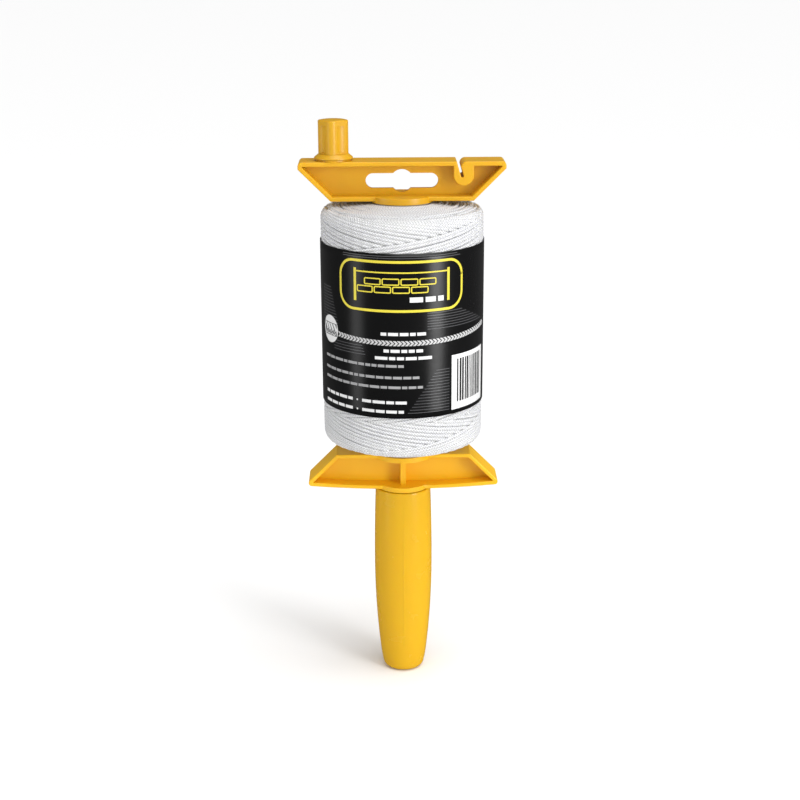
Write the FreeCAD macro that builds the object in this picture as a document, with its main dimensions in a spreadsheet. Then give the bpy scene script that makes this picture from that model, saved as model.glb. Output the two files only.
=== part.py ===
import FreeCAD, Part
import math
import os

import Sketcher

# Hand-held reel for braided mason line, in millimetres.
# Origin: the lowest point of the handle, on the spin axis.  +Z runs up the spin axis,
# X runs along the two wings and Y runs from the front of the reel to its back.

DIMENSIONS = {
    # Barrel handle, moulded hollow with a closed end.
    "handle_top": 90.3,
    "handle_end_radius": 6.4,
    "handle_end_round": 3.2,
    "handle_hip_radius": 10.7,
    "handle_hip_level": 9.8,
    "handle_belly_radius": 13.2,
    "handle_belly_level": 54.7,
    "handle_neck_radius": 12.5,
    "handle_wall": 2.4,
    "handle_lip_round": 0.6,
    "neck_depth": 11.4,
    "ledge_margin": 0.8,
    # Snap spigot that the handle turns on.
    "spigot_radius": 5.0,
    "spigot_barb_radius": 5.9,
    "spigot_barb_length": 4.6,
    "spigot_tip_radius": 4.2,
    "spigot_slit_width": 1.8,
    "spigot_slit_length": 13.0,
    "running_clearance": 0.05,
    "axial_play": 0.3,
    # Lower wing.
    "lower_base": 90.95,
    "lower_rise": 1.9,
    "lower_top": 107.6,
    "lower_top_half": 30.0,
    "lower_half": 42.75,
    "lower_rim": 1.75,
    "lower_depth": 15.6,
    "web": 2.0,
    "centre_rib_width": 2.5,
    "centre_rib_depth": 13.2,
    "lower_disc_radius": 11.9,
    "lower_disc_height": 2.2,
    "seat_disc_radius": 13.7,
    "seat_disc_height": 2.2,
    "rim_round": 0.45,
    "corner_round": 1.35,
    # Extruded spindle with a hexagonal bore, and the hexagonal stubs that plug into it.
    "spindle_radius": 10.2,
    "spindle_top": 217.0,
    "hexagon_flats": 13.0,
    "plug_clearance": 0.05,
    "stub_top": 132.0,
    "plug_bottom": 180.0,
    "stub_chamfer": 0.8,
    # Paper core, wound line and printed film label.
    "core_inner_radius": 10.6,
    "core_outer_radius": 12.4,
    "core_bottom": 107.8,
    "core_top": 220.9,
    "roll_gap": 0.05,
    "roll_radius": 35.4,
    "roll_bottom": 114.3,
    "roll_top": 219.8,
    "roll_bottom_swell": 4.6,
    "roll_top_swell": 1.1,
    "roll_top_round": 5.5,
    "roll_bottom_round": 4.6,
    "label_inner_radius": 35.5,
    "label_thickness": 0.2,
    "label_bottom": 133.5,
    "label_top": 204.8,
    # Upper wing.
    "upper_base": 221.85,
    "upper_top": 238.6,
    "upper_half": 44.35,
    "upper_end_height": 3.0,
    "upper_rim": 1.85,
    "upper_depth": 15.0,
    "upper_corner_round": 1.7,
    "cap_disc_radius": 13.7,
    "cap_disc_height": 2.6,
    "cap_disc_bottom": 221.1,
    # Hang slot through the upper web.
    "hang_level": 229.8,
    "hang_slot_length": 31.2,
    "hang_slot_width": 6.4,
    "hang_hole_radius": 4.9,
    # Line notch and the boss that it is cut in.
    "notch_centre": 25.6,
    "notch_boss_centre": 26.2,
    "notch_boss_half": 4.3,
    "notch_boss_level": 232.7,
    "notch_width": 1.2,
    "notch_bottom_level": 232.45,
    "notch_lean": 1.75,
    "notch_lip_radius": 2.4,
    "notch_lip_centre": 27.5,
    # Crank knob and the snap pin that it turns on.
    "knob_offset": 29.2,
    "knob_turn": 38.0,
    "knob_side": 10.7,
    "knob_corner": 2.6,
    "knob_top": 255.4,
    "knob_crown": 0.7,
    "knob_top_round": 0.5,
    "knob_foot_radius": 8.3,
    "knob_foot_edge": 0.5,
    "knob_gap": 0.3,
    "knob_boss_radius": 7.4,
    "knob_boss_height": 0.6,
    "knob_skirt_radius": 6.6,
    "knob_skirt_height": 1.9,
    "flute_radius": 4.6,
    "flute_depth": 0.45,
    "flute_bottom": 242.2,
    "flute_top": 253.3,
    "pin_radius": 2.5,
    "pin_neck_top": 248.8,
    "pin_barb_radius": 2.95,
    "pin_tip_radius": 2.0,
    "pin_top": 251.8,
    "pin_slit_width": 1.0,
    "pin_slit_length": 7.0,
    "knob_chamber_radius": 3.3,
    "knob_chamber_top": 252.6,
}

document = FreeCAD.newDocument("line_reel")
sheet = document.addObject("Spreadsheet::Sheet", "sizes")
for row, (alias, number) in enumerate(DIMENSIONS.items(), start=1):
    sheet.set(f"A{row}", alias)
    sheet.set(f"B{row}", str(number))
    sheet.setAlias(f"B{row}", alias)
document.recompute()


class Size:
    """A number together with the spreadsheet formula that it comes from."""

    def __init__(self, value, formula):
        self.value = value
        self.formula = formula

    def __add__(self, other):
        other = as_size(other)
        return Size(self.value + other.value, f"({self.formula} + {other.formula})")

    def __sub__(self, other):
        other = as_size(other)
        return Size(self.value - other.value, f"({self.formula} - {other.formula})")

    def __mul__(self, other):
        other = as_size(other)
        return Size(self.value * other.value, f"({self.formula} * {other.formula})")

    def __truediv__(self, other):
        other = as_size(other)
        return Size(self.value / other.value, f"({self.formula} / {other.formula})")

    def __neg__(self):
        return Size(-self.value, f"(0 - {self.formula})")


def as_size(number):
    return number if isinstance(number, Size) else Size(number, repr(number))


def root(size):
    return Size(math.sqrt(size.value), f"sqrt({size.formula})")


def cell(alias):
    return Size(DIMENSIONS[alias], f"sizes.{alias}")


def bind(item, **sizes):
    """Set properties of an object from the spreadsheet."""
    for name, size in sizes.items():
        setattr(item, name, size.value)
        item.setExpression(name, size.formula)


ZERO = as_size(0.0)
DIAGONAL_SHIFT = math.sqrt(2.0) - 1.0  # corner shift per millimetre of rim, at 45 degrees


def new_body(label):
    body = document.addObject("PartDesign::Body", label)
    body.Label = label
    return body


def origin_plane(body, role):
    return next(item for item in body.Origin.OriginFeatures if item.Role == role)


def new_sketch(body, role, name, lift=None):
    """A sketch on one of the body's own planes, raised along its normal by lift."""
    sketch = body.newObject("Sketcher::SketchObject", name)
    sketch.AttachmentSupport = [(origin_plane(body, role), "")]
    sketch.MapMode = "FlatFace"
    if lift is not None:
        sketch.setExpression(".AttachmentOffset.Base.z", lift.formula)
    return sketch


def fix_point(sketch, geometry, end, across, along):
    """Tie a point to the sketch's origin by two sizes, or to an axis where one is nil."""
    for kind, axis, size in (("DistanceX", -2, across), ("DistanceY", -1, along)):
        if size is ZERO:
            sketch.addConstraint(Sketcher.Constraint("PointOnObject", geometry, end, axis))
            continue
        fact = Sketcher.Constraint(kind, -1, 1, geometry, end, size.value)
        index = sketch.addConstraint(fact)
        sketch.setExpression(f"Constraints[{index}]", size.formula)


def vector(corner):
    return FreeCAD.Vector(corner[0].value, corner[1].value, 0)


def arc_between(start, finish, radius):
    """The shorter arc from start to finish; a positive radius turns it anticlockwise."""
    chord = finish - start
    height = math.sqrt(max(radius * radius - chord.Length ** 2 / 4, 0.0))
    side = FreeCAD.Vector(-chord.y, chord.x, 0).normalize() * math.copysign(height, radius)
    centre = (start + finish) * 0.5 + side
    first, last = (start, finish) if radius > 0 else (finish, start)
    angles = [math.atan2(point.y - centre.y, point.x - centre.x) for point in (first, last)]
    circle = Part.Circle(centre, FreeCAD.Vector(0, 0, 1), abs(radius))
    return Part.ArcOfCircle(circle, angles[0], angles[1])


def draw_loop(sketch, corners):
    """A closed outline.  A corner is (x, y), or (x, y, radius) where an arc follows it."""
    ends = []
    for index, corner in enumerate(corners):
        start, finish = vector(corner), vector(corners[(index + 1) % len(corners)])
        if len(corner) == 2:
            ends.append((sketch.addGeometry(Part.LineSegment(start, finish), False), 1, 2))
            continue
        radius = corner[2]
        geometry = sketch.addGeometry(arc_between(start, finish, radius.value), False)
        ends.append((geometry, 1, 2) if radius.value > 0 else (geometry, 2, 1))
        chord = finish - start
        if abs(chord.Length - 2 * abs(radius.value)) < 1e-6:
            level = "Horizontal" if abs(chord.y) < 1e-6 else "Vertical"
            sketch.addConstraint(Sketcher.Constraint(level, geometry, 3, geometry, 1))
            continue
        size = radius if radius.value > 0 else -radius
        index = sketch.addConstraint(Sketcher.Constraint("Radius", geometry, size.value))
        sketch.setExpression(f"Constraints[{index}]", size.formula)
    for index, (geometry, start, finish) in enumerate(ends):
        following, first, _ = ends[(index + 1) % len(ends)]
        sketch.addConstraint(
            Sketcher.Constraint("Coincident", geometry, finish, following, first))
        fix_point(sketch, geometry, start, corners[index][0], corners[index][1])


def draw_circle(sketch, across, along, radius):
    circle = Part.Circle(vector((across, along)), FreeCAD.Vector(0, 0, 1), radius.value)
    geometry = sketch.addGeometry(circle, False)
    fix_point(sketch, geometry, 3, across, along)
    index = sketch.addConstraint(Sketcher.Constraint("Radius", geometry, radius.value))
    sketch.setExpression(f"Constraints[{index}]", radius.formula)


def draw_box(sketch, left, low, right, high):
    draw_loop(sketch, [(left, low), (right, low), (right, high), (left, high)])


def draw_hexagon(sketch, flats):
    """A hexagon with two flats across Y and a corner at each end of X."""
    side = flats / math.sqrt(3.0)
    half = flats / 2
    draw_loop(sketch, [
        (side, ZERO), (side / 2, half), (-(side / 2), half),
        (-side, ZERO), (-(side / 2), -half), (side / 2, -half)])


def pad(body, name, sketch, length, midplane=False, backwards=False):
    feature = body.newObject("PartDesign::Pad", name)
    feature.Profile = sketch
    feature.Midplane = midplane
    feature.Reversed = backwards
    bind(feature, Length=length)
    document.recompute()
    return feature


def revolve(body, name, sketch):
    feature = body.newObject("PartDesign::Revolution", name)
    feature.Profile = sketch
    feature.ReferenceAxis = (sketch, ["V_Axis"])
    feature.Angle = 360
    document.recompute()
    return feature


def pocket(body, name, sketch, length, midplane=False, backwards=False):
    """Cut a sketch's outline out of the body, and insist that it takes something away."""
    before = body.Shape.Volume
    feature = body.newObject("PartDesign::Pocket", name)
    feature.Profile = sketch
    feature.Midplane = midplane
    feature.Reversed = backwards
    bind(feature, Length=length)
    document.recompute()
    if body.Shape.Volume >= before:
        raise RuntimeError(f"{body.Label}.{name} cuts nothing")
    return feature


def groove(body, name, sketch):
    """Turn a sketch's outline out of the body, and insist that it takes something away."""
    before = body.Shape.Volume
    feature = body.newObject("PartDesign::Groove", name)
    feature.Profile = sketch
    feature.ReferenceAxis = (sketch, ["V_Axis"])
    feature.Angle = 360
    document.recompute()
    if body.Shape.Volume >= before:
        raise RuntimeError(f"{body.Label}.{name} cuts nothing")
    return feature


def dress(body, kind, name, size, wanted):
    """Round (Fillet, by Radius) or bevel (Chamfer, by Size) the edges that are wanted."""
    base = body.Tip
    names = [f"Edge{index}" for index, edge in enumerate(base.Shape.Edges, start=1)
             if wanted(edge)]
    if not names:
        raise RuntimeError(f"{body.Label}.{name} has no edges")
    feature = body.newObject(f"PartDesign::{kind}", name)
    feature.Base = (base, names)
    bind(feature, **{"Radius" if kind == "Fillet" else "Size": size})
    document.recompute()
    return feature


def on_plane(axis, level):
    """A test for edges that lie in the plane where one coordinate has the given level."""
    low, high = f"{axis}Min", f"{axis}Max"

    def test(edge):
        box = edge.BoundBox
        return abs(getattr(box, low) - level) < 1e-4 and abs(getattr(box, high) - level) < 1e-4
    return test


def on_faces(depth):
    """A test for edges on the front or back face of a plate that is depth thick in Y."""
    front, back = on_plane("Y", -depth.value / 2), on_plane("Y", depth.value / 2)
    return lambda edge: front(edge) or back(edge)


def mirrored(corners):
    """The corners of a right-hand half outline followed by their mirror images."""
    left = [(-across, along) for across, along in reversed(corners)]
    return corners + left


def build_handle_grip():
    """Hollow barrel: a closed rounded end, a full belly and a plain bearing at its neck."""
    top = cell("handle_top")
    end_radius, end_round = cell("handle_end_radius"), cell("handle_end_round")
    hip, hip_level = cell("handle_hip_radius"), cell("handle_hip_level")
    belly, belly_level = cell("handle_belly_radius"), cell("handle_belly_level")
    neck, wall = cell("handle_neck_radius"), cell("handle_wall")
    bore = cell("spigot_radius") + cell("running_clearance")
    ledge = top - cell("neck_depth")
    ledge_rim = cell("spigot_barb_radius") + cell("ledge_margin")

    body = new_body("handle_grip")
    outside = new_sketch(body, "XZ_Plane", "barrel_outline")
    # Where the end round meets the hip arc is a first guess: the tangencies settle it.
    meeting = (end_radius + end_round * 0.98, end_round * 0.79)
    hip_arc_radius = 70.0
    corners = [vector(place) for place in (
        (ZERO, ZERO), (end_radius, ZERO), meeting, (hip, hip_level), (belly, belly_level),
        (neck, top), (ZERO, top))]
    radii = (None, end_round.value, hip_arc_radius, arc_radius(corners[3], corners[4]),
             arc_radius(corners[5], corners[4]), None, None)
    for index, radius in enumerate(radii):
        start, finish = corners[index], corners[(index + 1) % len(corners)]
        shape = arc_between(start, finish, radius) if radius else Part.LineSegment(start, finish)
        outside.addGeometry(shape, False)
    floor, end_arc, hip_arc, low_arc, high_arc, lid, axis = range(7)
    for first, second in ((floor, end_arc), (end_arc, hip_arc), (hip_arc, low_arc)):
        outside.addConstraint(Sketcher.Constraint("Tangent", first, 2, second, 1))
    for first, second in ((low_arc, high_arc), (high_arc, lid), (lid, axis), (axis, floor)):
        outside.addConstraint(Sketcher.Constraint("Coincident", first, 2, second, 1))
    fix_point(outside, floor, 1, ZERO, ZERO)
    fix_point(outside, floor, 2, end_radius, ZERO)
    fix_point(outside, low_arc, 1, hip, hip_level)
    fix_point(outside, high_arc, 1, belly, belly_level)
    fix_point(outside, lid, 1, neck, top)
    fix_point(outside, lid, 2, ZERO, top)
    for arc in (low_arc, high_arc):
        level = Sketcher.Constraint("DistanceY", -1, 1, arc, 3, belly_level.value)
        index = outside.addConstraint(level)
        outside.setExpression(f"Constraints[{index}]", belly_level.formula)
    index = outside.addConstraint(Sketcher.Constraint("Radius", end_arc, end_round.value))
    outside.setExpression(f"Constraints[{index}]", end_round.formula)
    revolve(body, "barrel", outside)
    dress(body, "Fillet", "lip_round", cell("handle_lip_round"), on_plane("Z", top.value))

    inside = new_sketch(body, "XZ_Plane", "cavity_outline")
    draw_loop(inside, [
        (ZERO, wall), (end_radius, wall), (hip - wall, hip_level), (belly - wall, belly_level),
        (belly - wall, ledge - wall), (ledge_rim, ledge), (bore, ledge), (bore, top + 1),
        (ZERO, top + 1)])
    groove(body, "cavity", inside)
    return body


def arc_radius(end, crest):
    """Radius of an arc through end whose tangent at crest is vertical."""
    across, along = crest.x - end.x, crest.y - end.y
    return (across * across + along * along) / (2 * across)


def arched_outline(drop):
    """Lower wing's outline, moved inwards by drop: an arched base under 45 degree ends."""
    base, rise, half = cell("lower_base"), cell("lower_rise"), cell("lower_half")
    top, top_half = cell("lower_top"), cell("lower_top_half")
    arch = (half * half + rise * rise) / (rise * 2)
    if drop is ZERO:
        end_level = top - (half - top_half)
        return [(-half, base + rise, arch), (half, base + rise), (half, end_level),
                (top_half, top), (-top_half, top), (-half, end_level)]
    radius = arch - drop
    centre = base + arch
    reach = top_half - drop * DIAGONAL_SHIFT
    total = reach + (top - drop)
    spread = total - centre
    foot = (total + centre - root(radius * radius * 2 - spread * spread)) / 2
    corner = total - foot
    return [(-corner, foot, radius), (corner, foot), (reach, top - drop), (-reach, top - drop)]


def build_lower_wing():
    """Lower wing: rimmed web, centre rib, hub discs, snap spigot and hexagonal stub."""
    base, top = cell("lower_base"), cell("lower_top")
    rim, depth, web = cell("lower_rim"), cell("lower_depth"), cell("web")
    play = cell("axial_play")
    disc_bottom = cell("handle_top") + play

    body = new_body("lower_wing")
    rim_sketch = new_sketch(body, "XZ_Plane", "rim_outline")
    draw_loop(rim_sketch, arched_outline(ZERO))
    draw_loop(rim_sketch, arched_outline(rim))
    pad(body, "rim", rim_sketch, depth, midplane=True)

    half = cell("lower_half").value

    def end_corner(edge):
        box = edge.BoundBox
        return box.YLength > depth.value - 1e-4 and abs(abs(box.XMin) - half) < 1e-4
    dress(body, "Fillet", "end_round", cell("corner_round"), end_corner)

    web_sketch = new_sketch(body, "XZ_Plane", "web_outline")
    draw_loop(web_sketch, arched_outline(rim / 2))
    pad(body, "web", web_sketch, web, midplane=True)
    dress(body, "Fillet", "rim_round", cell("rim_round"), on_faces(depth))

    rib_sketch = new_sketch(body, "XZ_Plane", "centre_rib_outline")
    rib_half = cell("centre_rib_width") / 2
    draw_box(rib_sketch, -rib_half, base + rim / 2, rib_half, top - rim / 2)
    pad(body, "centre_rib", rib_sketch, cell("centre_rib_depth"), midplane=True)

    hub = new_sketch(body, "XZ_Plane", "hub_outline")
    low_disc, seat = cell("lower_disc_radius"), cell("seat_disc_radius")
    spigot, barb = cell("spigot_radius"), cell("spigot_barb_radius")
    shoulder = cell("handle_top") - cell("neck_depth") - play
    tip = shoulder - cell("spigot_barb_length")
    low_disc_top = disc_bottom + cell("lower_disc_height")
    seat_bottom = top - cell("seat_disc_height")
    draw_loop(hub, [
        (ZERO, tip), (cell("spigot_tip_radius"), tip), (barb, shoulder - play),
        (barb, shoulder), (spigot, shoulder), (spigot, disc_bottom), (low_disc, disc_bottom),
        (low_disc, low_disc_top), (ZERO, low_disc_top)])
    revolve(body, "spigot", hub)
    seat_sketch = new_sketch(body, "XZ_Plane", "seat_outline")
    draw_box(seat_sketch, ZERO, seat_bottom, seat, top)
    revolve(body, "seat", seat_sketch)

    stub_sketch = new_sketch(body, "XY_Plane", "stub_outline", lift=top)
    draw_hexagon(stub_sketch, cell("hexagon_flats"))
    pad(body, "stub", stub_sketch, cell("stub_top") - top)
    dress(body, "Chamfer", "stub_bevel", cell("stub_chamfer"),
          on_plane("Z", cell("stub_top").value))

    slit_top = tip + cell("spigot_slit_length")
    slit = cell("spigot_slit_width")
    for role, name in (("XZ_Plane", "front_slit"), ("YZ_Plane", "side_slit")):
        sketch = new_sketch(body, role, f"{name}_outline")
        draw_box(sketch, -(slit / 2), tip - 1, slit / 2, slit_top)
        pocket(body, name, sketch, depth, midplane=True)
    return body


def build_spindle_tube():
    """Extruded spindle: round outside, hexagonal bore from end to end."""
    body = new_body("spindle_tube")
    bottom = cell("lower_top")
    sketch = new_sketch(body, "XY_Plane", "section", lift=bottom)
    draw_circle(sketch, ZERO, ZERO, cell("spindle_radius"))
    draw_hexagon(sketch, cell("hexagon_flats"))
    pad(body, "extrusion", sketch, cell("spindle_top") - bottom)
    return body


def build_ring(label, inner, outer, bottom, top):
    """A plain tube about the spin axis."""
    body = new_body(label)
    sketch = new_sketch(body, "XY_Plane", "section", lift=bottom)
    draw_circle(sketch, ZERO, ZERO, outer)
    draw_circle(sketch, ZERO, ZERO, inner)
    pad(body, "tube", sketch, top - bottom)
    return body


def build_wound_line():
    """The envelope of the wound line: rounded shoulders, and ends that swell at the core."""
    inner, outer = cell("core_outer_radius") + cell("roll_gap"), cell("roll_radius")
    bottom, top = cell("roll_bottom"), cell("roll_top")
    low_round, high_round = cell("roll_bottom_round"), cell("roll_top_round")
    low_end, high_end = bottom - cell("roll_bottom_swell"), top + cell("roll_top_swell")
    body = new_body("wound_line")
    sketch = new_sketch(body, "XZ_Plane", "winding_outline")
    draw_loop(sketch, [
        (inner, low_end), (outer - low_round, bottom, low_round), (outer, bottom + low_round),
        (outer, top - high_round, high_round), (outer - high_round, top), (inner, high_end)])
    revolve(body, "winding", sketch)
    return body


def boat_outline(drop):
    """Upper wing's outline, moved inwards by drop: short upright ends over 45 degrees."""
    base, top = cell("upper_base") + drop, cell("upper_top") - drop
    half = cell("upper_half") - drop
    shift = drop * DIAGONAL_SHIFT
    end_level = cell("upper_top") - cell("upper_end_height") + shift
    foot = cell("upper_half") - (cell("upper_top") - cell("upper_end_height")
                                 - cell("upper_base")) - shift
    return mirrored([(foot, base), (half, end_level), (half, top)])


def draw_notch(sketch):
    """Leaning slot with a round bottom, a crisp left lip and a wide rounded right lip."""
    centre, width = cell("notch_centre"), cell("notch_width")
    level, top = cell("notch_bottom_level"), cell("upper_top")
    lean, lip = cell("notch_lean"), cell("notch_lip_radius")
    lip_centre = cell("notch_lip_centre")
    left, right = centre - width / 2, centre + width / 2
    draw_loop(sketch, [
        (left, level, width / 2), (right, level), (lip_centre - lip, top - lip, -lip),
        (lip_centre, top), (lip_centre, top + 1), (left - lean, top + 1), (left - lean, top)])


def build_upper_wing():
    """Upper wing: rimmed web, hang slot, line notch, hub cap with its plug, knob pin."""
    top = cell("upper_top")
    rim, depth, web = cell("upper_rim"), cell("upper_depth"), cell("web")

    body = new_body("upper_wing")
    rim_sketch = new_sketch(body, "XZ_Plane", "rim_outline")
    draw_loop(rim_sketch, boat_outline(ZERO))
    draw_loop(rim_sketch, boat_outline(rim))
    pad(body, "rim", rim_sketch, depth, midplane=True)

    half = cell("upper_half").value

    def top_corner(edge):
        box = edge.BoundBox
        return (box.YLength > depth.value - 1e-4 and abs(abs(box.XMin) - half) < 1e-4
                and abs(box.ZMin - top.value) < 1e-4)
    dress(body, "Fillet", "corner_round", cell("upper_corner_round"), top_corner)

    web_sketch = new_sketch(body, "XZ_Plane", "web_outline")
    draw_loop(web_sketch, boat_outline(rim / 2))
    pad(body, "web", web_sketch, web, midplane=True)

    boss_sketch = new_sketch(body, "XZ_Plane", "notch_boss_outline")
    middle, boss_half = cell("notch_boss_centre"), cell("notch_boss_half")
    boss_level = cell("notch_boss_level")
    draw_loop(boss_sketch, [
        (middle - boss_half, boss_level, boss_half), (middle + boss_half, boss_level),
        (middle + boss_half, top - rim / 2), (middle - boss_half, top - rim / 2)])
    pad(body, "notch_boss", boss_sketch, depth, midplane=True)
    notch_sketch = new_sketch(body, "XZ_Plane", "notch_outline")
    draw_notch(notch_sketch)
    pocket(body, "notch", notch_sketch, depth * 2, midplane=True)
    dress(body, "Fillet", "rim_round", cell("rim_round"), on_faces(depth))

    slot_sketch = new_sketch(body, "XZ_Plane", "hang_slot_outline")
    level, slot_half = cell("hang_level"), cell("hang_slot_width") / 2
    reach = cell("hang_slot_length") / 2 - slot_half
    hole = cell("hang_hole_radius")
    mouth = root(hole * hole - slot_half * slot_half)
    draw_loop(slot_sketch, [
        (-reach, level - slot_half), (-mouth, level - slot_half, hole),
        (mouth, level - slot_half), (reach, level - slot_half, slot_half),
        (reach, level + slot_half), (mouth, level + slot_half, hole),
        (-mouth, level + slot_half), (-reach, level + slot_half, slot_half)])
    pocket(body, "hang_slot", slot_sketch, web * 2, midplane=True)

    cap_sketch = new_sketch(body, "XZ_Plane", "cap_outline")
    cap_bottom = cell("cap_disc_bottom")
    draw_box(cap_sketch, ZERO, cap_bottom, cell("cap_disc_radius"),
             cap_bottom + cell("cap_disc_height"))
    revolve(body, "cap", cap_sketch)

    plug_sketch = new_sketch(body, "XY_Plane", "plug_outline", lift=cell("plug_bottom"))
    draw_hexagon(plug_sketch, cell("hexagon_flats") - cell("plug_clearance") * 2)
    pad(body, "plug", plug_sketch, cap_bottom - cell("plug_bottom"))
    dress(body, "Chamfer", "plug_bevel", cell("stub_chamfer"),
          on_plane("Z", cell("plug_bottom").value))

    build_knob_pin(body)
    return body


def build_knob_pin(body):
    """Low boss on the upper rim, and the split snap pin that the crank knob turns on."""
    top, offset = cell("upper_top"), -cell("knob_offset")
    pin, barb = cell("pin_radius"), cell("pin_barb_radius")
    neck_top, pin_top = cell("pin_neck_top"), cell("pin_top")
    root_level = top - cell("upper_rim") / 2
    step = new_sketch(body, "XY_Plane", "knob_boss_outline", lift=root_level)
    draw_circle(step, offset, ZERO, cell("knob_boss_radius"))
    pad(body, "knob_boss", step, top + cell("knob_boss_height") - root_level)
    circle = new_sketch(body, "XY_Plane", "pin_outline", lift=root_level)
    draw_circle(circle, offset, ZERO, pin)
    pad(body, "pin", circle, neck_top - root_level)
    collar = new_sketch(body, "XY_Plane", "pin_barb_outline", lift=neck_top)
    draw_circle(collar, offset, ZERO, barb)
    pad(body, "pin_barb", collar, pin_top - neck_top)
    dress(body, "Chamfer", "pin_bevel", barb - cell("pin_tip_radius"),
          on_plane("Z", pin_top.value))
    slit = cell("pin_slit_width") / 2
    sketch = new_sketch(body, "XZ_Plane", "pin_slit_outline")
    draw_box(sketch, offset - slit, pin_top - cell("pin_slit_length"), offset + slit, pin_top + 1)
    pocket(body, "pin_slit", sketch, barb * 4, midplane=True)


def build_crank_knob():
    """Fluted square finger knob on a round flared foot, hollow for its snap pin."""
    foot_level = cell("upper_top") + cell("knob_boss_height") + cell("knob_gap")
    side, corner = cell("knob_side"), cell("knob_corner")
    half = side / 2
    flat = half - corner
    skirt, foot = cell("knob_skirt_radius"), cell("knob_foot_radius")
    top = cell("knob_top")

    body = new_body("crank_knob")
    foot_sketch = new_sketch(body, "XZ_Plane", "foot_outline")
    draw_loop(foot_sketch, [
        (ZERO, foot_level), (foot, foot_level), (foot, foot_level + cell("knob_foot_edge")),
        (skirt, foot_level + cell("knob_skirt_height")),
        (ZERO, foot_level + cell("knob_skirt_height"))])
    revolve(body, "foot", foot_sketch)

    post_sketch = new_sketch(body, "XY_Plane", "post_outline", lift=foot_level)
    draw_loop(post_sketch, [
        (-flat, -half), (flat, -half, corner), (half, -flat), (half, flat, corner),
        (flat, half), (-flat, half, corner), (-half, flat), (-half, -flat, corner)])
    pad(body, "post", post_sketch, top + cell("knob_crown") - foot_level)

    crown = new_sketch(body, "XZ_Plane", "crown_outline")
    reach, rise = half * math.sqrt(2.0), cell("knob_crown")
    dome = (reach * reach + rise * rise) / (rise * 2)
    draw_loop(crown, [
        (ZERO, top + rise + 1), (ZERO, top + rise, -dome), (reach, top), (reach, top + rise + 1)])
    groove(body, "crown", crown)

    flute_sketch = new_sketch(body, "XY_Plane", "flute_outline", lift=cell("flute_bottom"))
    radius = cell("flute_radius")
    distance = half + radius - cell("flute_depth")
    for across, along in ((distance, ZERO), (-distance, ZERO), (ZERO, distance),
                          (ZERO, -distance)):
        draw_circle(flute_sketch, across, along, radius)
    flute_length = cell("flute_top") - cell("flute_bottom")
    pocket(body, "flutes", flute_sketch, flute_length, backwards=True)

    def crown_edge(edge):
        box = edge.BoundBox
        return box.ZMin > top.value - 0.6 and box.ZLength < 0.6
    dress(body, "Fillet", "top_round", cell("knob_top_round"), crown_edge)

    bore_sketch = new_sketch(body, "XZ_Plane", "bore_outline")
    bore = cell("pin_radius") + cell("running_clearance")
    chamber = cell("knob_chamber_radius")
    ledge = cell("pin_neck_top") - cell("axial_play")
    draw_loop(bore_sketch, [
        (ZERO, foot_level - 1), (bore, foot_level - 1), (bore, ledge), (chamber, ledge),
        (chamber, cell("knob_chamber_top")), (ZERO, cell("knob_chamber_top"))])
    groove(body, "bore", bore_sketch)
    body.setExpression(".Placement.Base.x", (-cell("knob_offset")).formula)
    body.setExpression(".Placement.Rotation.Angle", cell("knob_turn").formula)
    return body


SUB_PARTS = [
    build_handle_grip(),
    build_lower_wing(),
    build_spindle_tube(),
    build_ring("core_tube", cell("core_inner_radius"), cell("core_outer_radius"),
               cell("core_bottom"), cell("core_top")),
    build_wound_line(),
    build_ring("label_sleeve", cell("label_inner_radius"),
               cell("label_inner_radius") + cell("label_thickness"),
               cell("label_bottom"), cell("label_top")),
    build_upper_wing(),
    build_crank_knob(),
]

document.recompute()
for item in document.Objects:
    if "Invalid" in item.State or "Error" in item.State:
        raise RuntimeError(f"{item.Label} failed: {item.State}")
os.makedirs("parts", exist_ok=True)
for sub_part in SUB_PARTS:
    shape = sub_part.Shape
    if shape.isNull() or not shape.isValid() or len(shape.Solids) != 1:
        raise RuntimeError(f"{sub_part.Label} is not one valid solid")
    print(sub_part.Label, round(shape.Volume, 1), shape.BoundBox)
    shape.exportStep(f"parts/{sub_part.Label}.step")
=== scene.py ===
import math
import random

import bpy
import numpy as np
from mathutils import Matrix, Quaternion, Vector


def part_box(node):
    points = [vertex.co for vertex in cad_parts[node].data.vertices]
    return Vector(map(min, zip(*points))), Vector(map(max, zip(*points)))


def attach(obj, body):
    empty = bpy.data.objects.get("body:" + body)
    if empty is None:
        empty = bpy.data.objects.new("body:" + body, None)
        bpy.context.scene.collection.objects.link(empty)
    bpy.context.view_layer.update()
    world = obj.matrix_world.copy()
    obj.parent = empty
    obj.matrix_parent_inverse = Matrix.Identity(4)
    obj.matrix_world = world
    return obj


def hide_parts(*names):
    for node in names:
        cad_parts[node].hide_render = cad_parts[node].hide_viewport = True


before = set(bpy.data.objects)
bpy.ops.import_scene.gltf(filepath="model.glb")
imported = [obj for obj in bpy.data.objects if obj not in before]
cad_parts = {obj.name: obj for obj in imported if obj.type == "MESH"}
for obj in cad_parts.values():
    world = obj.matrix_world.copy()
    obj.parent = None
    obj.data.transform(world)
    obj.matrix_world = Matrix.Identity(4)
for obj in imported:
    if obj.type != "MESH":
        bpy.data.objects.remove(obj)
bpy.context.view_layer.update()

MM = 0.001

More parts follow.
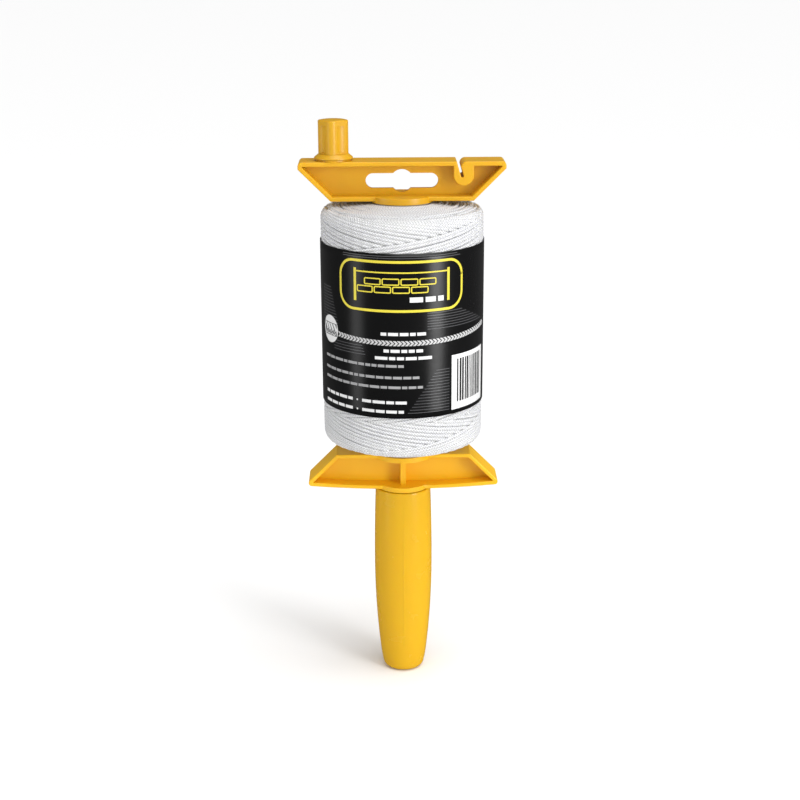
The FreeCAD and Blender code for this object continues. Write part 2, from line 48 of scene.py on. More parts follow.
# ---------------------------------------------------------------- driving values, in mm
STRAND = 1.65                 # width of the braided line
STRAND_RADIUS = STRAND / 2
STRAND_SPREAD = 1.08          # wound tight, the braid flattens and closes the gaps
HELIX_ANGLE = math.radians(10.0)
SHOULDER = {"top": 5.5, "bottom": 4.6}
SWELL = {"top": 1.1, "bottom": 4.6}     # how much prouder each end of the roll is at the core
TUCK = 2.6                    # how far the winding runs on under the label's edges
UNDER_SINK = 1.05             # how far a strand dives where another crosses over it
PACKED_SINK = 1.5             # from the roll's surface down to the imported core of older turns
FILM_THICKNESS = 0.2
STRAND_STEP = 1.05            # from one ring of points to the next along a turn

roll_low, roll_high = (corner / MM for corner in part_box("wound_line"))
label_low, label_high = (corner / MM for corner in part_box("label_sleeve"))
core_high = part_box("core_tube")[1] / MM
ROLL_RADIUS = roll_high.x
ROLL_BOTTOM, ROLL_TOP = roll_low.z, roll_high.z
CORE_RADIUS = core_high.x
LABEL_RADIUS = label_high.x
LABEL_BOTTOM, LABEL_TOP = label_low.z, label_high.z


# ---------------------------------------------------------------- material helpers
class Shader:
    """A principled material and short calls that add nodes to it."""

    def __init__(self, name, **sockets):
        self.material = bpy.data.materials.new(name)
        self.material.use_nodes = True
        self.tree = self.material.node_tree
        self.surface = self.tree.nodes["Principled BSDF"]
        for key, value in sockets.items():
            self.surface.inputs[key.replace("_", " ")].default_value = value

    def node(self, kind, inputs=None, **settings):
        made = self.tree.nodes.new(kind)
        for key, value in settings.items():
            setattr(made, key, value)
        for key, value in (inputs or {}).items():
            if isinstance(value, bpy.types.NodeSocket):
                self.tree.links.new(value, made.inputs[key])
            else:
                made.inputs[key].default_value = value
        return made

    def math(self, operation, first, second=0.0):
        return self.node("ShaderNodeMath", {0: first, 1: second}, operation=operation).outputs[0]

    def place(self, scale=(1.0, 1.0, 1.0)):
        """Object coordinates in millimetres, stretched by scale."""
        coordinates = self.node("ShaderNodeTexCoord").outputs["Object"]
        return self.node("ShaderNodeMapping", {
            "Vector": coordinates, "Scale": tuple(part / MM for part in scale)}).outputs[0]

    def noise(self, where, scale, detail=3.0):
        return self.node("ShaderNodeTexNoise", {
            "Vector": where, "Scale": scale, "Detail": detail}).outputs["Fac"]

    def ramp(self, factor, stops):
        made = self.node("ShaderNodeValToRGB", {"Fac": factor})
        elements = made.color_ramp.elements
        for index, (position, colour) in enumerate(stops):
            element = elements[index] if index < 2 else elements.new(position)
            element.position = position
            element.color = (*colour, 1.0)
        return made.outputs["Color"]

    def span(self, value, low, high):
        """Spread a 0 to 1 value over the range low to high."""
        return self.node("ShaderNodeMapRange", {
            "Value": value, "To Min": low, "To Max": high}).outputs[0]

    def paint(self, socket, value):
        self.tree.links.new(value, self.surface.inputs[socket])

    def bump(self, height, depth_mm, strength=1.0):
        made = self.node("ShaderNodeBump", {
            "Height": height, "Distance": depth_mm * MM, "Strength": strength})
        self.paint("Normal", made.outputs[0])


def moulded_plastic(name, deep, bright, roughness):
    """Glossy moulded polypropylene: faint flow marks, orange peel and rubbed patches."""
    shader = Shader(name, Roughness=roughness, Specular_IOR_Level=0.5, Subsurface_Weight=0.12,
                    Subsurface_Radius=(1.0, 0.35, 0.05), Subsurface_Scale=0.0016)
    flow = shader.noise(shader.place((0.05, 0.05, 0.012)), 1.0, 4.0)
    shader.paint("Base Color", shader.ramp(flow, [(0.3, deep), (0.7, bright)]))
    rubbed = shader.noise(shader.place((0.11, 0.11, 0.11)), 1.0, 6.0)
    shader.paint("Roughness", shader.span(rubbed, roughness - 0.04, roughness + 0.06))
    peel = shader.noise(shader.place((1.1, 1.1, 1.1)), 1.0, 2.0)
    shader.bump(peel, 0.012, 0.3)
    return shader.material


def braided_nylon(name):
    """White braid: crossing plaits drawn along each strand from its own UV map, with painted shade
    darkening the crevices between plaits.
    """
    shader = Shader(name, Roughness=0.42, Specular_IOR_Level=0.45, Sheen_Weight=0.25,
                    Sheen_Roughness=0.4, Subsurface_Weight=0.25,
                    Subsurface_Radius=(0.6, 0.6, 0.7), Subsurface_Scale=0.0006)
    place = shader.node("ShaderNodeUVMap", uv_map="braid").outputs["UV"]
    parts = shader.node("ShaderNodeSeparateXYZ", {"Vector": place})
    around = shader.math("MULTIPLY", parts.outputs["X"], 4.0)
    along = shader.math("MULTIPLY", parts.outputs["Y"], 0.8)
    rising = shader.math("ADD", around, along)
    falling = shader.math("SUBTRACT", around, along)
    cells = shader.math("ADD", shader.math("FLOOR", rising), shader.math("FLOOR", falling))
    over = shader.math("PINGPONG", cells, 1.0)
    plaits = []
    for line in (rising, falling):
        wave = shader.math("SINE", shader.math("MULTIPLY", line, math.pi))
        plaits.append(shader.math("ABSOLUTE", wave))
    chosen = shader.node("ShaderNodeMix", {0: over, 2: plaits[0], 3: plaits[1]}).outputs[0]
    grime = shader.noise(shader.place((0.03, 0.03, 0.05)), 1.0, 3.0)
    # Painted shade: the colour darkens from the crest of each plait down into the crevices between
    # plaits.
    plait_crevice_shade = shader.ramp(chosen, [(0.0, (0.34, 0.342, 0.35)), (0.5, (0.75, 0.752, 0.758)),
                                  (1.0, (0.84, 0.841, 0.845))])
    tone = shader.ramp(grime, [(0.3, (0.93, 0.935, 0.95)), (0.7, (1.0, 1.0, 1.0))])
    mixed = shader.node("ShaderNodeMix", {0: 1.0, 6: plait_crevice_shade, 7: tone}, data_type="RGBA",
                        blend_type="MULTIPLY")
    shader.paint("Base Color", mixed.outputs[2])
    shader.bump(chosen, 0.22, 1.0)
    return shader.material


def packed_nylon(name):
    """What shows between strands: older turns of the same white line, in shade."""
    shader = Shader(name, Roughness=0.6)
    turns = shader.node("ShaderNodeTexWave", {
        "Vector": shader.place((1.0, 1.0, 1.0)), "Scale": 0.3, "Distortion": 1.5},
        wave_type="BANDS", bands_direction="Z")
    shade = shader.ramp(turns.outputs["Fac"], [(0.2, (0.7, 0.7, 0.71)), (0.8, (0.82, 0.82, 0.83))])
    shader.paint("Base Color", shade)
    shader.bump(turns.outputs["Fac"], 0.3)
    return shader.material


def paper_board(name):
    """Spiral-wound paper: fibres."""
    shader = Shader(name, Roughness=0.85)
    fibres = shader.noise(shader.place((1.2, 1.2, 0.25)), 1.0, 6.0)
    shader.paint("Base Color", shader.ramp(fibres, [(0.35, (0.5, 0.46, 0.39)),
                                                    (0.65, (0.66, 0.62, 0.55))]))
    shader.bump(fibres, 0.05)
    return shader.material


def printed_film(name, colour, roughness, shine=0.5):
    """Gloss film or the ink on it, with the slack and small waves of thin plastic."""
    shader = Shader(name, Roughness=roughness, Specular_IOR_Level=shine)
    slack = shader.noise(shader.place((0.035, 0.035, 0.02)), 1.0, 2.0)
    darker = tuple(part * 0.86 for part in colour)
    shader.paint("Base Color", shader.ramp(slack, [(0.3, darker), (0.7, colour)]))
    shader.paint("Roughness", shader.span(slack, roughness - 0.04, roughness + 0.08))
    ripples = shader.noise(shader.place((0.16, 0.16, 0.5)), 1.0, 3.0)
    shader.bump(ripples, 0.05, 0.5)
    return shader.material


# One yellow plastic in four tones: the lower wing is made lighter as painted light, and the
# handle, the upper wing and the knob are made darker, step by step, as painted shade.
LOWER_WING_YELLOW_PAINTED_LIGHT = moulded_plastic(
    "lower_wing_yellow_painted_light", (0.84, 0.46, 0.006), (0.88, 0.49, 0.008), 0.33)
UPPER_WING_YELLOW_PAINTED_SHADE = moulded_plastic(
    "upper_wing_yellow_painted_shade", (0.69, 0.365, 0.006), (0.74, 0.395, 0.008), 0.33)
HANDLE_YELLOW_PAINTED_SHADE = moulded_plastic(
    "handle_yellow_painted_shade", (0.70, 0.39, 0.005), (0.735, 0.415, 0.007), 0.25)
KNOB_YELLOW_PAINTED_SHADE = moulded_plastic("knob_yellow_painted_shade", (0.60, 0.32, 0.005), (0.64, 0.345, 0.006), 0.36)
SPINDLE_PLASTIC = moulded_plastic("spindle_natural", (0.7, 0.69, 0.64), (0.78, 0.77, 0.73), 0.5)
NYLON = braided_nylon("nylon_braid")
NYLON_UNDER = packed_nylon("nylon_under")
PAPER = paper_board("core_board")
FILM = printed_film("label_black", (0.004, 0.004, 0.0042), 0.26, shine=0.35)
INK_WHITE = printed_film("ink_white", (0.78, 0.78, 0.78), 0.3)
INK_GREY = printed_film("ink_grey", (0.1, 0.1, 0.105), 0.3)
INK_SILVER = printed_film("ink_silver", (0.6, 0.6, 0.6), 0.3)
INK_SOFT = printed_film("ink_soft", (0.36, 0.36, 0.365), 0.3)
INK_BLACK = printed_film("ink_black", (0.006, 0.006, 0.0065), 0.3)
INK_YELLOW = printed_film("ink_yellow", (0.78, 0.66, 0.05), 0.3)


# ---------------------------------------------------------------- mesh helpers
def new_piece(name, vertices, faces, material, body, smooth=True):
    """A mesh from millimetre coordinates that rides on a CAD body."""
    mesh = bpy.data.meshes.new(name)
    mesh.from_pydata([tuple(point) for point in np.asarray(vertices, float) * MM], [], faces)
    mesh.validate()
    mesh.materials.append(material)
    mesh.polygons.foreach_set("use_smooth", [smooth] * len(mesh.polygons))
    mesh.update()
    piece = bpy.data.objects.new(name, mesh)
    bpy.context.scene.collection.objects.link(piece)
    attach(piece, body)
    return piece


def strand_tubes(name, strands, sides, material):
    """Round strands in one mesh.  Each is (points, outward normals), with a braid UV map."""
    vertices, faces, wraps = [], [], []
    ring_angles = np.linspace(0.0, 2 * math.pi, sides, endpoint=False)
    cosines, sines = np.cos(ring_angles), np.sin(ring_angles)
    for points, normals in strands:
        tangents = np.gradient(points, axis=0)
        tangents /= np.linalg.norm(tangents, axis=1)[:, None]
        across = np.cross(tangents, normals)
        across /= np.linalg.norm(across, axis=1)[:, None]
        upward = np.cross(across, tangents)
        rings = (points[:, None, :]
                 + STRAND_RADIUS * (cosines[None, :, None] * upward[:, None, :]
                                    + sines[None, :, None] * across[:, None, :] * STRAND_SPREAD))
        first = len(vertices)
        vertices.extend(rings.reshape(-1, 3))
        steps = np.linalg.norm(np.diff(points, axis=0), axis=1)
        travel = np.concatenate(([0.0], np.cumsum(steps)))
        count = len(points)
        for ring in range(count - 1):
            for side in range(sides):
                following = (side + 1) % sides
                base, above = first + ring * sides, first + (ring + 1) * sides
                faces.append((base + side, base + following, above + following, above + side))
                wraps.append(((side, ring), (side + 1, ring), (side + 1, ring + 1),
                              (side, ring + 1), travel))
        for ring, backwards in ((0, True), (count - 1, False)):
            cap = [first + ring * sides + side for side in range(sides)]
            faces.append(tuple(reversed(cap)) if backwards else tuple(cap))
            wraps.append(None)
    piece = new_piece(name, vertices, faces, material, "line_roll")
    layer = piece.data.uv_layers.new(name="braid")
    flat = []
    for entry in wraps:
        if entry is None:
            flat.extend([0.0] * (2 * sides))
            continue
        travel = entry[4]
        for side, ring in entry[:4]:
            flat.extend((side / sides, travel[ring]))
    layer.data.foreach_set("uv", flat)
    return piece


def lathe(name, profile, segments, material, body):
    """A closed profile of (radius, height) points turned once about the spin axis."""
    vertices, faces = [], []
    count = len(profile)
    for step in range(segments):
        angle = 2 * math.pi * step / segments
        for radius, height in profile:
            vertices.append((radius * math.sin(angle), -radius * math.cos(angle), height))
    for step in range(segments):
        base, following = step * count, ((step + 1) % segments) * count
        for index in range(count):
            after = (index + 1) % count
            faces.append((base + index, following + index, following + after, base + after))
    return new_piece(name, vertices, faces, material, body)


# ---------------------------------------------------------------- the wound line
class End:
    """One end of the roll: its surface as travel from the straight side over the edge."""

    def __init__(self, name):
        self.upward = 1 if name == "top" else -1
        self.inner_edge = ROLL_TOP if name == "top" else ROLL_BOTTOM
        self.edge = self.inner_edge - self.upward * SWELL[name]
        self.round = SHOULDER[name]
        self.slope = SWELL[name] / (ROLL_RADIUS - self.round - CORE_RADIUS)
        self.tucked = (LABEL_TOP - TUCK) if name == "top" else (LABEL_BOTTOM + TUCK)
        self.straight = (self.edge - self.tucked) * self.upward - self.round
        self.turned = self.straight + self.round * math.pi / 2

    def place(self, travel, depth, angle):
        """Points and outward normals at depth below the surface."""
        bend = np.clip((travel - self.straight) / self.round, 0.0, math.pi / 2)
        along = np.minimum(travel, self.straight)
        inward = np.maximum(travel - self.turned, 0.0)
        reach = self.round - depth
        radius = ROLL_RADIUS - self.round + reach * np.cos(bend) - inward
        rise = along + reach * np.sin(bend) + inward * self.slope
        height = self.tucked + self.upward * rise
        out, lift = np.cos(bend), np.sin(bend) * self.upward
        normals = np.stack((out * np.sin(angle), -out * np.cos(angle), lift), axis=1)
        points = np.stack((radius * np.sin(angle), -radius * np.cos(angle), height), axis=1)
        return points, normals


def lay_hairpins(name, wedge, seed):
    """The outermost turns, laid side by side round the whole roll.

    Each turn climbs the side at the helix angle, turns back over the edge of the roll and
    goes down again.  Where two turns cross, the one laid later is on top, so one wedge of
    the surface, opening from the last turn laid, shows the other slope of the windings.
    """
    draw = random.Random(seed)
    end = End(name)
    climb = math.tan(HELIX_ANGLE) * ROLL_RADIUS
    count = round(2 * math.pi * climb * math.cos(HELIX_ANGLE) / STRAND)
    apart = 2 * math.pi / count
    hook = 4.5                # how softly a turn rounds its apex
    swell = 0.22              # how far a strand sags halfway between two crossings
    strands = []
    for turn in range(count):
        apex = end.straight + end.round * 0.8 + draw.uniform(-0.15, 0.15)
        half = math.sqrt((apex + hook) ** 2 - hook ** 2) / climb
        swing = np.arange(-half, half, STRAND_STEP / ROLL_RADIUS)
        travel = apex - (np.sqrt((climb * swing) ** 2 + hook ** 2) - hook)
        stray, spread = draw.uniform(-0.5, 0.5), draw.uniform(0.35, 0.6)
        travel = travel + stray * np.exp(-(swing / spread) ** 2)
        crossed = turn - 2 * swing / apart
        before = np.floor(crossed)
        share = crossed - before
        blend = share * share * (3 - 2 * share)
        lower = (turn >= before % count).astype(float)
        upper = (turn >= (before + 1) % count).astype(float)
        level = lower + (upper - lower) * blend
        depth = STRAND_RADIUS + (1 - level) * UNDER_SINK
        depth = depth + swell * (1 - np.cos(2 * math.pi * share)) / 2 * level
        angle = wedge - (turn + 1) * apart + swing
        strands.append(end.place(travel, depth, angle))
    return strands


def lay_older(name, seed):
    """Turn-backs of the layer below, which close the edge of the roll above the last turns."""
    draw = random.Random(seed)
    end = End(name)
    strands = []
    for row, (lead, sunk) in enumerate(((1.0, 0.75), (1.3, 0.45), (1.6, 0.2))):
        arcs = 7
        for index in range(arcs):
            middle = 2 * math.pi * (index + 0.33 * row + draw.uniform(-0.12, 0.12)) / arcs
            half = 1.5 * math.pi / arcs
            swing = np.arange(-half, half, 1.15 / ROLL_RADIUS)
            share = np.abs(swing) / half
            travel = (end.straight + end.round * lead + draw.uniform(-0.3, 0.3)
                      - 2.2 * share ** 2)
            depth = STRAND_RADIUS + sunk + 1.1 * share ** 3
            strands.append(end.place(travel, depth, middle + swing))
    return strands


def lay_face(name, seed):
    """Turns that show on the flat end: arcs of older turns that dive out of sight."""
    draw = random.Random(seed)
    end = End(name)
    strands = []
    outer = ROLL_RADIUS - end.round + 0.4
    inner = CORE_RADIUS + STRAND_RADIUS + 0.1
    rings = round((outer - inner) / 1.5)
    for ring in range(rings + 1):
        radius = inner + (outer - inner) * ring / rings
        arcs = max(3, round(2 * math.pi * radius / 40.0))
        start = draw.uniform(0, 2 * math.pi)
        for index in range(arcs):
            middle = start + 2 * math.pi * (index + draw.uniform(-0.15, 0.15)) / arcs
            half = 1.45 * math.pi / arcs
            swing = np.linspace(-half, half, max(9, int(2 * half * radius / 1.2)))
            share = swing / half
            drift = draw.uniform(-0.45, 0.45)
            reach = radius + drift * share + draw.uniform(-0.12, 0.12)
            depth = STRAND_RADIUS + draw.uniform(0.0, 0.22) + 1.5 * np.abs(share) ** 3.2
            angle = middle + swing
            climb = end.slope * np.maximum(ROLL_RADIUS - end.round - reach, 0.0)
            height = end.edge + end.upward * (climb - depth)
            points = np.stack((reach * np.sin(angle), -reach * np.cos(angle), height), axis=1)
            normals = np.tile((0.0, 0.0, float(end.upward)), (len(angle), 1))
            strands.append((points, normals))
    return strands


def build_winding():
    made = []
    for seed, name, wedge in ((11, "top", 129.0), (12, "bottom", -61.0)):
        turns = lay_hairpins(name, math.radians(wedge), seed)
        made.append(strand_tubes(f"line_turns_{name}", turns, 8, NYLON))
        inner = lay_older(name, seed + 10) + lay_face(name, seed + 20)
        made.append(strand_tubes(f"line_end_{name}", inner, 6, NYLON))
    profile = []
    for name in ("bottom", "top"):
        end = End(name)
        reach = end.round - PACKED_SINK
        steps = range(9) if name == "top" else range(8, -1, -1)
        for step in steps:
            bend = math.pi / 2 * step / 8
            profile.append((ROLL_RADIUS - end.round + reach * math.cos(bend),
                            end.edge - end.upward * (end.round - reach * math.sin(bend))))
    bore = CORE_RADIUS + 0.05
    profile.append((bore, ROLL_TOP - PACKED_SINK))
    profile.append((bore, ROLL_BOTTOM + PACKED_SINK))
    made.append(lathe("line_packed", profile, 128, NYLON_UNDER, "line_roll"))
    for piece in made:
        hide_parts("wound_line")


# ---------------------------------------------------------------- the printed label
PRINT_FRONT = math.radians(-1.5)      # direction that the artwork is centred on
INK_LIFT = 0.03                       # plates of ink stand this proud of the film
OVERPRINT_LIFTS = {"ground": 0.045, "bars": 0.055, "detail": 0.06}


def on_label(across, height, lift=0.0):
    """A point of the label: millimetres round from the artwork's middle and above its foot."""
    radius = LABEL_RADIUS + lift
    angle = PRINT_FRONT + across / LABEL_RADIUS
    return (radius * math.sin(angle), -radius * math.cos(angle), LABEL_BOTTOM + height)


class Ink:
    """Closed plates of one colour that follow the label's curve."""

    def __init__(self, name, material, lift=INK_LIFT):
        self.name, self.material, self.lift = name, material, lift
        self.vertices, self.faces = [], []

    def quad(self, corners):
        """A thin plate over four (across, height) corners, anticlockwise from the front."""
        first = len(self.vertices)
        for lift in (self.lift, -INK_LIFT):
            self.vertices.extend(on_label(across, height, lift) for across, height in corners)
        a, b, c, d = range(first, first + 4)
        self.faces.append((a, b, c, d))
        self.faces.append((d + 4, c + 4, b + 4, a + 4))
        for one, two in ((a, b), (b, c), (c, d), (d, a)):
            self.faces.append((two, one, one + 4, two + 4))

    def ribbon(self, left, right):
        """A plate between two rows of points, as one closed strip."""
        first, count = len(self.vertices), len(left)
        for lift in (self.lift, -INK_LIFT):
            for one, two in zip(left, right):
                self.vertices.append(on_label(*one, lift))
                self.vertices.append(on_label(*two, lift))
        down = 2 * count
        for index in range(count - 1):
            a = first + 2 * index
            self.faces.append((a, a + 1, a + 3, a + 2))
            self.faces.append((a + down + 2, a + down + 3, a + down + 1, a + down))
            self.faces.append((a + 2, a + down + 2, a + down, a))
            self.faces.append((a + 1, a + down + 1, a + down + 3, a + 3))
        last = first + 2 * (count - 1)
        self.faces.append((first + 1, first, first + down, first + down + 1))
        self.faces.append((last, last + 1, last + down + 1, last + down))

    def stroke(self, path, width):
        """A line of even width along (across, height) points."""
        places = np.asarray(path, float)
        tangents = np.gradient(places, axis=0)
        tangents /= np.linalg.norm(tangents, axis=1)[:, None]
        side = np.stack((-tangents[:, 1], tangents[:, 0]), axis=1) * width / 2
        self.ribbon([tuple(place) for place in places - side],
                    [tuple(place) for place in places + side])

    def bar(self, left, low, right, high):
        """An upright rectangle, cut fine enough to follow the label's curve."""
        count = max(2, math.ceil((right - left) / 1.5) + 1)
        across = [left + (right - left) * index / (count - 1) for index in range(count)]
        self.ribbon([(place, low) for place in across], [(place, high) for place in across])

    def build(self):
        return new_piece(self.name, self.vertices, self.faces, self.material, "line_roll",
                         smooth=False)


def word_row(ink, left, baseline, width, height, draw):
    """A greeked line of print: one plain bar for each word, with no letters."""
    place = left
    while place < left + width - height:
        wide = min(height * draw.uniform(1.6, 4.6), left + width - place)
        ink.bar(place, baseline, place + wide, baseline + height)
        place += wide + height * 0.5


def rounded_frame(half_width, half_height, corner, middle, level):
    """Points round a rectangle with large rounded corners."""
    points = []
    centres = ((1, 1, 0.0), (-1, 1, 90.0), (-1, -1, 180.0), (1, -1, 270.0))
    for across, along, begin in centres:
        for step in range(13):
            angle = math.radians(begin + 90.0 * step / 12)
            points.append((middle + across * (half_width - corner) + corner * math.cos(angle),
                           level + along * (half_height - corner) + corner * math.sin(angle)))
    dense = []
    for index, point in enumerate(points):
        after = points[(index + 1) % len(points)]
        gap = math.hypot(after[0] - point[0], after[1] - point[1])
        parts = max(1, math.ceil(gap / 1.5))
        for part in range(parts):
            share = part / parts
            dense.append((point[0] + (after[0] - point[0]) * share,
                          point[1] + (after[1] - point[1]) * share))
    dense.extend(dense[:2])
    return dense


def draw_badge(ink):
    """Generic badge: a rounded frame round two courses of bricks under a taut line."""
    ink.stroke(rounded_frame(28.4, 10.4, 7.0, -0.4, 57.4), 1.1)
    brick, brick_height, joint = 7.0, 2.5, 0.9
    corner, outline = 0.5, 0.5
    for course, (count, start) in enumerate(((4, -19.5), (4, -16.0))):
        low = 54.8 + course * (brick_height + joint)
        for index in range(count):
            middle = start + brick / 2 + index * (brick + joint)
            ink.stroke(rounded_frame(brick / 2, brick_height / 2, corner, middle,
                                     low + brick_height / 2), outline)
    line_level, line_width = 63.3, 0.6
    ink.stroke([(across, line_level) for across in np.linspace(-20.0, 20.0, 30)], line_width)
    post_low, post_high, post_half = 50.6, 64.6, 0.6
    for across in (-20.7, 20.7):
        ink.bar(across - post_half, post_low, across + post_half, post_high)


def sag(across):
    """Height of the printed braid, which sags towards the middle of the artwork."""
    lowest, rise, reach = 33.1, 1.7, 36.0
    return lowest + rise * (across / reach) ** 2


def draw_braid(ink, left, right, height, pitch, level):
    """A printed plait: two rows of slanted lozenges that meet along the middle."""
    across = left
    half, seam = height / 2, 0.02
    lean, wide = pitch * 0.7, pitch * 0.66
    while across < right:
        middle = level(across + pitch / 2)
        ink.quad([(across + lean, middle + seam), (across + lean + wide, middle + seam),
                  (across + wide, middle + half), (across, middle + half)])
        ink.quad([(across, middle - half), (across + wide, middle - half),
                  (across + lean + wide, middle - seam), (across + lean, middle - seam)])
        across += pitch


def draw_pinstripes(ink):
    """Groups of thin lines of uneven length: left, right, low, pitch, count and step."""
    width = 0.26
    groups = (
        (-44.0, -31.0, 38.6, 1.25, 13, 0.7),     # left of the badge
        (11.0, 44.0, 38.8, 1.15, 7, -2.6),       # right, above the braid
        (-34.0, -16.0, 27.4, 1.25, 4, 0.8),      # left, under the braid
        (2.5, 21.5, 2.3, 1.3, 15, 0.9),          # lower right, beside the code panel
        (-27.0, 27.0, 69.2, 0.9, 2, 3.0),        # along the top
    )
    for left, right, low, pitch, count, step in groups:
        for index in range(count):
            start, finish = left, right
            if left < 0:
                finish -= step * index * 0.6
            elif step > 0:
                start += step * index
            else:
                finish += step * index
            if finish - start > 2.0:
                ink.bar(start, low + pitch * index, finish, low + pitch * index + width)


def draw_code_panel(panel, bars, draw):
    """A scanner panel of plain bars, with no digits."""
    left, right, low, high = 22.7, 46.4, 1.8, 26.1
    margin = 3.0
    panel.bar(left, low, right, high)
    place = left + margin
    while place < right - margin:
        wide = draw.choice((0.5, 0.5, 0.75, 1.05))
        bars.bar(place, low + 3.2, place + wide, high - 2.0)
        place += wide + draw.choice((0.45, 0.5, 0.8))


def draw_vignette(disc, plait, outline):
    """A round close-up of the plait at the left-hand end of the printed braid."""
    middle, level, radius = -37.1, 35.3, 6.0
    across = np.linspace(-radius + 0.02, radius - 0.02, 25)
    reach = np.sqrt(radius ** 2 - across ** 2)
    disc.ribbon([(middle + side, level - half) for side, half in zip(across, reach)],
                [(middle + side, level + half) for side, half in zip(across, reach)])
    half_width, half_height = 5.1, 2.8
    outline.bar(middle - half_width, level - half_height,
                middle + half_width, level + half_height)
    draw_braid(plait, middle - 5.0, middle + 2.4, 5.0, 2.4, lambda side: level)


def build_label():
    inner = LABEL_RADIUS - FILM_THICKNESS
    low, high = LABEL_BOTTOM, LABEL_TOP
    heights = [low + (high - low) * index / 24 for index in range(25)]
    profile = [(LABEL_RADIUS, height) for height in heights]
    profile += [(inner, height) for height in reversed(heights)]
    sleeve = lathe("label_film", profile, 240, FILM, "line_roll")
    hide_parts("label_sleeve")

    draw = random.Random(7)
    white, grey = Ink("label_print_white", INK_WHITE), Ink("label_print_grey", INK_GREY)
    silver, yellow = Ink("label_print_silver", INK_SILVER), Ink("label_print_yellow", INK_YELLOW)
    soft = Ink("label_print_soft", INK_SOFT)
    panel = Ink("label_panel", INK_WHITE)
    bars = Ink("label_panel_bars", INK_BLACK, OVERPRINT_LIFTS["bars"])
    ground = Ink("label_braid_ground", INK_GREY, OVERPRINT_LIFTS["ground"])
    plait = Ink("label_braid_detail", INK_WHITE, OVERPRINT_LIFTS["detail"])
    margin = -41.4                    # where the rows of small print begin
    badge_print, claim_print, small_print, amount_print = 2.2, 1.35, 1.15, 1.3
    draw_badge(yellow)
    word_row(white, 3.4, 50.7, 15.0, badge_print, draw)
    for middle, baseline, width in ((0.7, 36.4, 19.3), (0.65, 29.1, 16.8), (0.9, 25.9, 25.0)):
        word_row(white, middle - width / 2, baseline, width, claim_print, draw)
    for baseline, finish in ((22.6, 1.6), (17.5, 9.0), (13.2, 9.0)):
        word_row(soft, margin, baseline, finish - margin, small_print, draw)
    for baseline in (6.4, 2.3):
        word_row(white, margin, baseline, 18.7, amount_print, draw)
        white.bar(-20.6, baseline + 0.3, -19.9, baseline + 1.0)
        word_row(white, -17.8, baseline, 20.0, amount_print, draw)
    draw_braid(silver, -31.0, 45.8, 2.2, 1.7, sag)
    draw_vignette(panel, plait, ground)
    draw_pinstripes(grey)
    draw_code_panel(panel, bars, draw)
    for ink in (white, grey, silver, yellow, soft, panel, bars, ground, plait):
        ink.build()


# ---------------------------------------------------------------- CAD pieces that stay
def finish_cad():
    finishes = {"handle_grip": HANDLE_YELLOW_PAINTED_SHADE, "lower_wing": LOWER_WING_YELLOW_PAINTED_LIGHT,
                "upper_wing": UPPER_WING_YELLOW_PAINTED_SHADE, "crank_knob": KNOB_YELLOW_PAINTED_SHADE,
                "spindle_tube": SPINDLE_PLASTIC, "core_tube": PAPER}
    for node, material in finishes.items():
        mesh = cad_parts[node].data
        mesh.materials.clear()
        mesh.materials.append(material)


def build_parting_lines():
    """Mould ridges along the front and back of the handle."""
    belly_level, belly = 54.7, 13.2               # the handle's widest place
    upper_bend, lower_bend = 905.6, 404.5         # radii of its outline above and below that
    edge, crest, root = 1.4, 0.22, -0.3
    for name, facing in (("front", 0.0), ("back", 180.0)):
        heights = np.linspace(14.0, 84.0, 47)
        vertices, faces = [], []
        for height in heights:
            bend = upper_bend if height > belly_level else lower_bend
            radius = belly - (height - belly_level) ** 2 / (2 * bend)
            fade = math.sin(math.pi * (height - heights[0]) / (heights[-1] - heights[0])) ** 0.4
            for offset, lift in ((-edge, root), (0.0, crest * fade), (edge, root)):
                angle = math.radians(facing) + offset / radius
                reach = radius + lift
                vertices.append((reach * math.sin(angle), -reach * math.cos(angle), height))
        for index in range(len(heights) - 1):
            base = 3 * index
            for one, two in ((0, 1), (1, 2), (2, 0)):
                faces.append((base + one, base + two, base + 3 + two, base + 3 + one))
        faces.append((2, 1, 0))
        faces.append(tuple(len(vertices) - 3 + corner for corner in range(3)))
        new_piece(f"handle_mould_line_{name}", vertices, faces, HANDLE_YELLOW_PAINTED_SHADE, "handle")


# ---------------------------------------------------------------- studio, in metres and watts
FLOOR_TONE = 0.92
ROOM_LIGHT = 0.55                     # what the white room gives to the object
ROOM_MIRRORED = 0.11                  # what reflections see of it
ROOM_SEEN = 1.0                       # what the camera sees of it
AIM = (0.0, 0.0, 0.12)                # the softboxes point at the middle of the reel
CAMERA_PLACE = (-0.01104, -0.6325, 0.32703)
CAMERA_TURN, CAMERA_TILT, CAMERA_ROLL = -0.89, 17.23, -0.25      # degrees
LENS = 66.26                          # mm


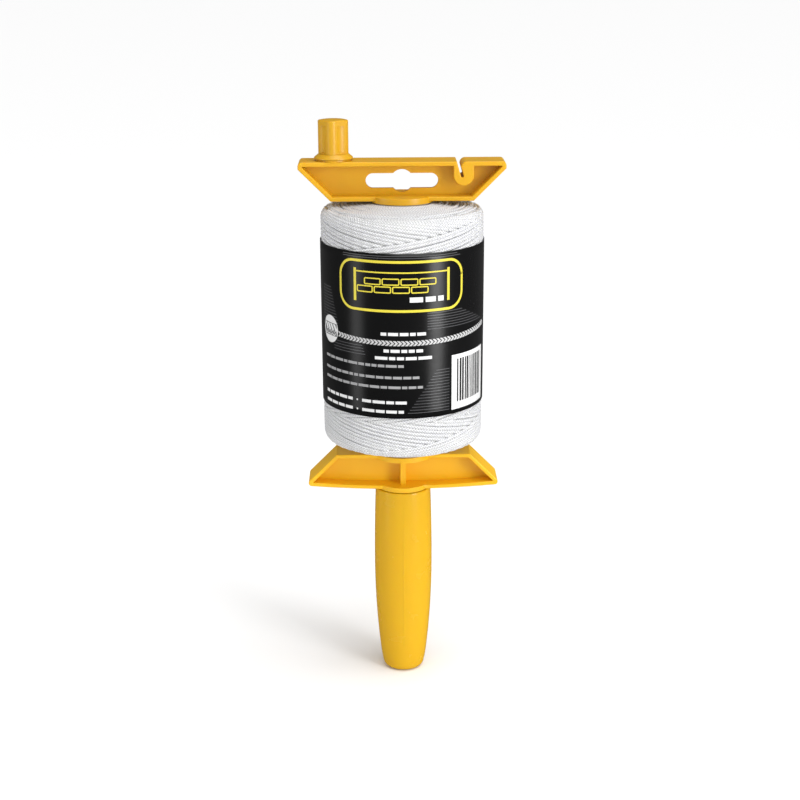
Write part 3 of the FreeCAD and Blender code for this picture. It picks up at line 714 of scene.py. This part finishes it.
def build_studio():
    floor_mesh = bpy.data.meshes.new("floor")
    wide = 80.0
    corners = [(-wide, -wide, 0), (wide, -wide, 0), (wide, wide, 0), (-wide, wide, 0)]
    floor_mesh.from_pydata(corners, [], [(0, 1, 2, 3)])
    paper = Shader("studio_floor", Roughness=0.9)
    paper.surface.inputs["Base Color"].default_value = (FLOOR_TONE, FLOOR_TONE, FLOOR_TONE, 1.0)
    floor_mesh.materials.append(paper.material)
    floor = bpy.data.objects.new("floor", floor_mesh)
    bpy.context.scene.collection.objects.link(floor)
    floor.visible_glossy = False

    world = bpy.data.worlds.new("studio")
    world.use_nodes = True
    tree = world.node_tree
    background = tree.nodes["Background"]
    background.inputs["Color"].default_value = (1.0, 1.0, 1.0, 1.0)
    rays = tree.nodes.new("ShaderNodeLightPath")
    strength = tree.nodes.new("ShaderNodeMapRange")
    tree.links.new(rays.outputs["Is Glossy Ray"], strength.inputs["Value"])
    strength.inputs["To Min"].default_value = ROOM_LIGHT
    strength.inputs["To Max"].default_value = ROOM_MIRRORED
    seen = tree.nodes.new("ShaderNodeMapRange")
    tree.links.new(rays.outputs["Is Camera Ray"], seen.inputs["Value"])
    tree.links.new(strength.outputs[0], seen.inputs["To Min"])
    seen.inputs["To Max"].default_value = ROOM_SEEN
    tree.links.new(seen.outputs[0], background.inputs["Strength"])
    bpy.context.scene.world = world
    bpy.context.scene.view_settings.view_transform = "Standard"

    sky = bpy.data.lights.new("sky", "SUN")
    sky.energy, sky.angle = 1.9, math.radians(50.0)
    overhead = bpy.data.objects.new("sky", sky)
    overhead.rotation_euler = Vector((-0.25, 0.2, -1.0)).to_track_quat("-Z", "Y").to_euler()
    bpy.context.scene.collection.objects.link(overhead)

    def softbox(name, place, wide, tall, power):
        light = bpy.data.lights.new(name, "AREA")
        light.shape = "RECTANGLE"
        light.size, light.size_y, light.energy = wide, tall, power
        lamp = bpy.data.objects.new(name, light)
        lamp.location = place
        lamp.rotation_euler = (Vector(AIM) - Vector(place)).to_track_quat("-Z", "Y").to_euler()
        bpy.context.scene.collection.objects.link(lamp)

    softbox("key", (0.8, -0.75, 0.25), 0.35, 1.0, 9.5)
    softbox("fill", (-0.95, -0.4, 0.2), 0.3, 1.0, 2.2)


def build_camera():
    turn, tilt, roll = (math.radians(part) for part in (CAMERA_TURN, CAMERA_TILT, CAMERA_ROLL))
    view = Vector((-math.sin(turn) * math.cos(tilt), math.cos(turn) * math.cos(tilt),
                   -math.sin(tilt)))
    lens = bpy.data.cameras.new("camera")
    lens.lens = LENS
    camera = bpy.data.objects.new("camera", lens)
    camera.location = CAMERA_PLACE
    aimed = view.to_track_quat("-Z", "Y") @ Quaternion((0.0, 0.0, 1.0), roll)
    camera.rotation_euler = aimed.to_euler()
    bpy.context.scene.collection.objects.link(camera)
    bpy.context.scene.camera = camera


build_winding()
build_label()
finish_cad()
build_parting_lines()
build_studio()
build_camera()
